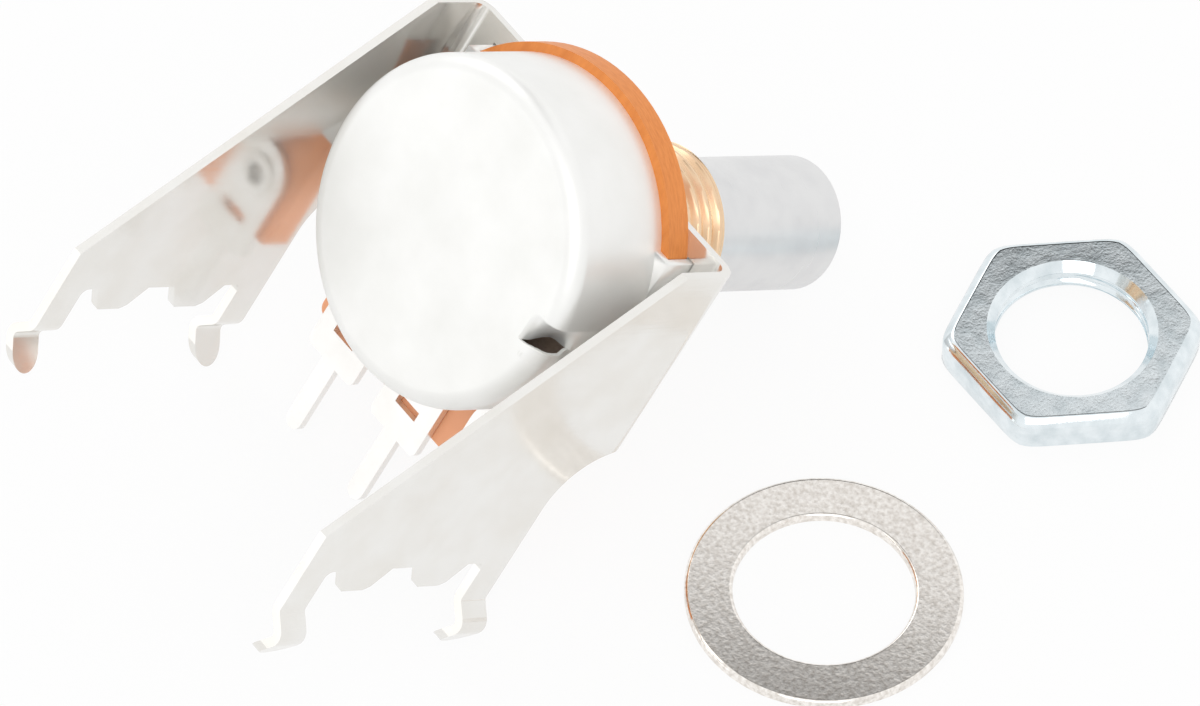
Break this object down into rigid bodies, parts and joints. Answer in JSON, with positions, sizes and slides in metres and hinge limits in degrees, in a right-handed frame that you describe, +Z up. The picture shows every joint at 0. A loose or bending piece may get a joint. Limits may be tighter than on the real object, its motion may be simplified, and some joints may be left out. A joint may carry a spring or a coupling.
{
  "type": "rotary potentiometer",
  "caption": "Rotary potentiometer on a folded snap-in bracket with a round shaft and a threaded bushing, its nut and washer beside it.",
  "frame": {"origin": "centre of the panel seat, on the shaft's axis, where the threaded bushing leaves the bracket's front plate", "axes": "+Z up from the surface that it lies on, +Y towards the rear of the potentiometer, away from the shaft's tip, +X across the bracket; the shaft points along -Y and down"},
  "size_m": [0.0344, 0.0506, 0.0232],
  "materials": {
    "plated_sheet": "satin zinc plate",
    "bright_cover": "satin tin plate",
    "turned_brass": "copper coloured, turned",
    "turned_aluminium": "turned",
    "phenolic_board": "pressed phenolic paper",
    "carbon_print": "printed carbon",
    "silver_print": "printed silver",
    "tinned_sheet": "tin plate",
    "moulded_rotor": "moulded",
    "spring_bronze": "bright",
    "spring_steel": "dark",
    "bright_zinc": "bright zinc plate",
    "nickel_plate": "satin nickel"
  },
  "bodies": {
    "housing": {"bracket": "plated_sheet", "bushing": "turned_brass", "rear_cover": "bright_cover", "wafer": "phenolic_board", "resistive_track": "carbon_print", "conductor_left": "silver_print", "conductor_middle": "silver_print", "conductor_right": "silver_print", "terminal_left": "tinned_sheet", "terminal_middle": "tinned_sheet", "terminal_right": "tinned_sheet", "rivet_left": "tinned_sheet", "rivet_middle": "tinned_sheet", "rivet_right": "tinned_sheet", "mounting_nut": "bright_zinc", "flat_washer": "nickel_plate"},
    "spindle": {"shaft": "turned_aluminium", "rotor": "moulded_rotor", "wiper_contact": "spring_bronze", "retaining_ring": "spring_steel"}
  },
  "joints": [
    {"name": "shaft_turn", "type": "hinge", "parent": "housing", "child": "spindle", "pos_m": [0, 0, 0], "axis": [0, -0.8208, -0.5713], "range_deg": [-150, 150]}
  ]
}
